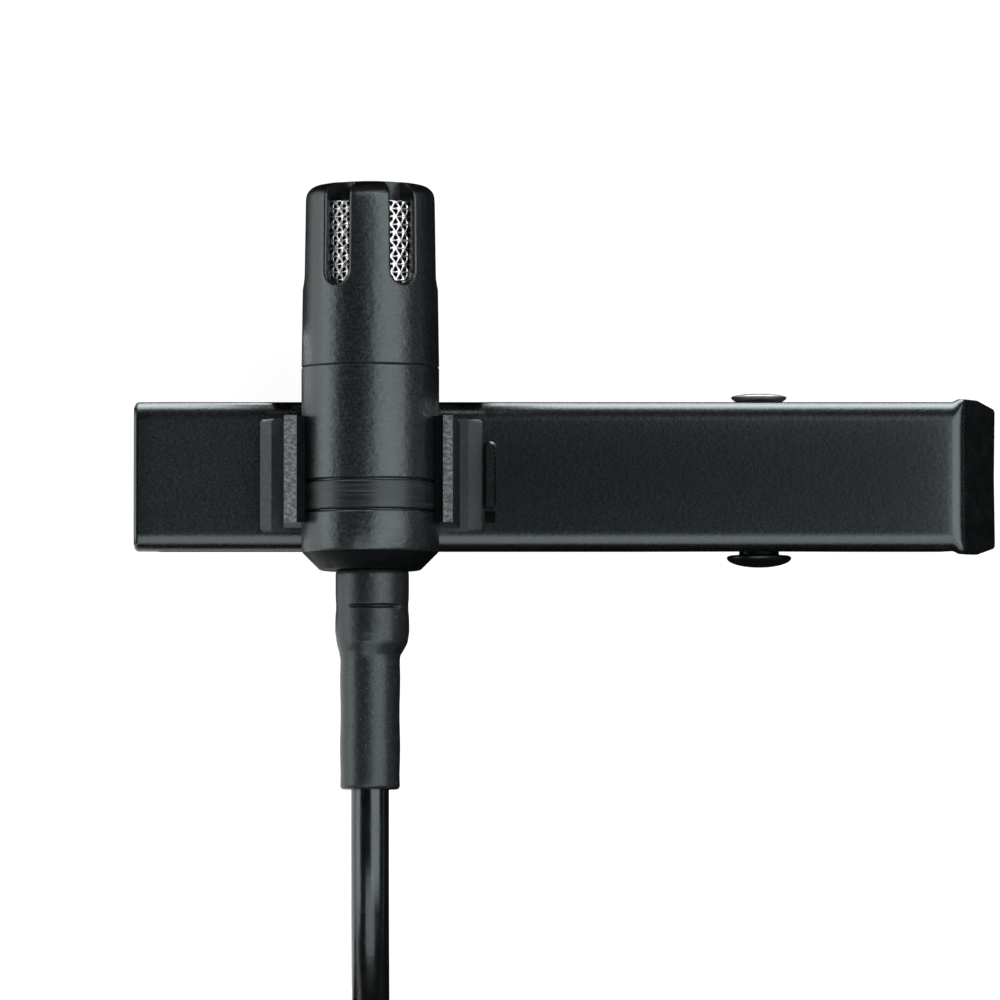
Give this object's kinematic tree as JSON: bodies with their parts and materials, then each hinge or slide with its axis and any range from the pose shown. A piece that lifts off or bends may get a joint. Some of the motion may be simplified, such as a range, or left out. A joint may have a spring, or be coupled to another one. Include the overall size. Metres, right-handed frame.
{
  "type": "lavalier microphone",
  "caption": "Slotted capsule microphone snapped across a sprung garment clip, with a strain boot, thin coiled lead and a locking jack plug.",
  "frame": {"origin": "centre of the base of the box round the clip and the microphone, on the surface that the clip's back lies on", "axes": "+X along the clip from its jaw to its tail, +Y along the microphone towards its slotted cap, +Z from the clip's back towards the microphone"},
  "size_m": [0.0573, 0.1048, 0.0161],
  "materials": {
    "mic_shell": "satin black",
    "mesh": "bright woven wire",
    "felt": "soft",
    "soft_black": "matte",
    "can": "satin",
    "film": "thin metal film",
    "insulator": "moulded",
    "spacer": "clear brown film",
    "gold": "plated",
    "board": "coated",
    "wire_skin": "smooth",
    "jacket": "glossy black",
    "clip_black": "gloss black",
    "holder_grey": "matte moulded",
    "steel": "bare",
    "nickel": "plated",
    "tie": "matte"
  },
  "bodies": {
    "microphone": {"head_cap": "mic_shell", "mesh_screen": "mesh", "acoustic_felt": "felt", "capsule_seat": "soft_black", "capsule_can": "can", "diaphragm": "film", "spacer_ring": "spacer", "backplate": "gold", "plate_carrier": "insulator", "gate_ring": "gold", "fet_board": "board", "board_leads": "wire_skin", "body_barrel": "mic_shell", "band_ring": "mic_shell", "end_bush": "mic_shell", "crimp_ferrule": "gold", "cable_tail": "jacket", "strain_boot": "soft_black", "cord_run": "jacket", "cord_coil": "jacket", "coil_tie": "tie", "cord_lead_out": "jacket", "plug_boot": "soft_black", "plug_barrel": "nickel", "plug_cable_end": "jacket", "plug_sleeve": "gold", "plug_insulators": "soft_black", "plug_ring": "gold", "plug_tip": "gold", "collar_clip": "steel"},
    "clip": {"front_bar": "clip_black", "holder": "holder_grey", "holder_rivet": "steel", "hinge_pin": "clip_black", "torsion_spring": "steel"},
    "lever": {"lever": "clip_black"},
    "collar": {"locking_collar": "nickel"}
  },
  "joints": [
    {"name": "mic_turn", "type": "hinge", "parent": "microphone", "child": "clip", "pos_m": [-0.01135, 0.0009, 0.01213], "axis": [0, 1, 0], "range_deg": [-180, 180]},
    {"name": "lever_squeeze", "type": "hinge", "parent": "clip", "child": "lever", "pos_m": [0.0114, 0.0009, 0.0033], "axis": [0, -1, 0], "range_deg": [0, 13], "stiffness_Nm_per_rad": 0.1, "springref_deg": -28.65, "deforming": ["torsion_spring"]},
    {"name": "collar_turn", "type": "hinge", "parent": "microphone", "child": "collar", "pos_m": [-0.0285, -0.0501, 0.0035], "axis": [0, 1, 0], "continuous": true}
  ]
}
